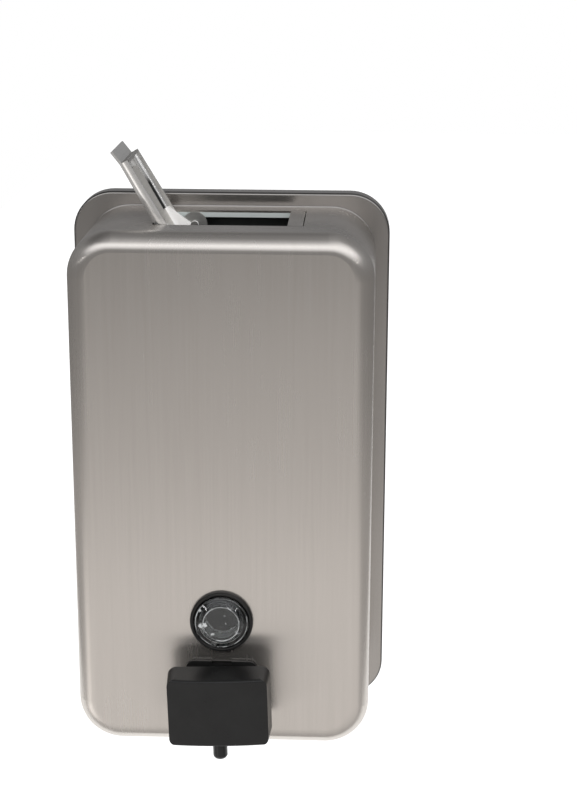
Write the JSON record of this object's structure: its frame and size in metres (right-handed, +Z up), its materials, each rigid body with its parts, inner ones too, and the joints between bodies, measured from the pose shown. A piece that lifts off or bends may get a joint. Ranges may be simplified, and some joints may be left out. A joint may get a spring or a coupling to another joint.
{
  "type": "wall mounted soap dispenser",
  "caption": "Upright stainless soap tank for a wall, with a hinged filler lid on top, a round refill window and a push-button piston valve with a spout.",
  "frame": {"origin": "centre of the four-screw pattern, on the wall plane, which is also the centre of the flange outline", "axes": "+X to the right seen from the room, +Y into the wall, +Z up; the front face and the button look along -Y"},
  "size_m": [0.1206, 0.086, 0.2271],
  "materials": {
    "satin_steel": "satin, vertical grain",
    "sheet_steel": "mill",
    "lid_steel": "bright satin",
    "rivet_steel": "bright",
    "spring_steel": "bright",
    "clear_plastic": "clear polished acrylic",
    "black_plastic": "semi-matte moulded",
    "valve_plastic": "natural moulded",
    "black_rubber": "smooth",
    "soft_rubber": "smooth silicone"
  },
  "bodies": {
    "tank": {"body_shell": "satin_steel", "wall_flange": "satin_steel", "back_plate": "sheet_steel", "hanger": "sheet_steel", "wall_bracket": "sheet_steel", "filler_frame": "sheet_steel", "hinge_bracket": "sheet_steel", "end_plate": "satin_steel", "hinge_rivets": "rivet_steel", "window_lens": "clear_plastic", "window_gasket": "black_rubber", "window_nut": "valve_plastic", "valve_body": "black_plastic", "valve_gasket": "black_rubber", "valve_washer": "black_rubber", "valve_nut": "valve_plastic", "inlet_cap": "valve_plastic", "inlet_valve": "soft_rubber", "pickup_elbow": "valve_plastic", "return_spring": "spring_steel"},
    "lid": {"lid": "lid_steel", "lid_liner": "lid_steel"},
    "button": {"push_button": "black_plastic", "spout": "black_plastic", "outlet_valve": "soft_rubber", "plunger": "valve_plastic", "cup_seal": "black_rubber"}
  },
  "joints": [
    {"name": "lid_hinge", "type": "hinge", "parent": "tank", "child": "lid", "pos_m": [-0.0128, -0.032, 0.0928], "axis": [0, 1, 0], "range_deg": [0, 119.4]},
    {"name": "button_push", "type": "slide", "parent": "tank", "child": "button", "axis": [0, 1, 0], "range_m": [0, 0.0075], "stiffness_N_per_m": 1000, "springref_m": -0.006, "deforming": ["return_spring"]}
  ]
}
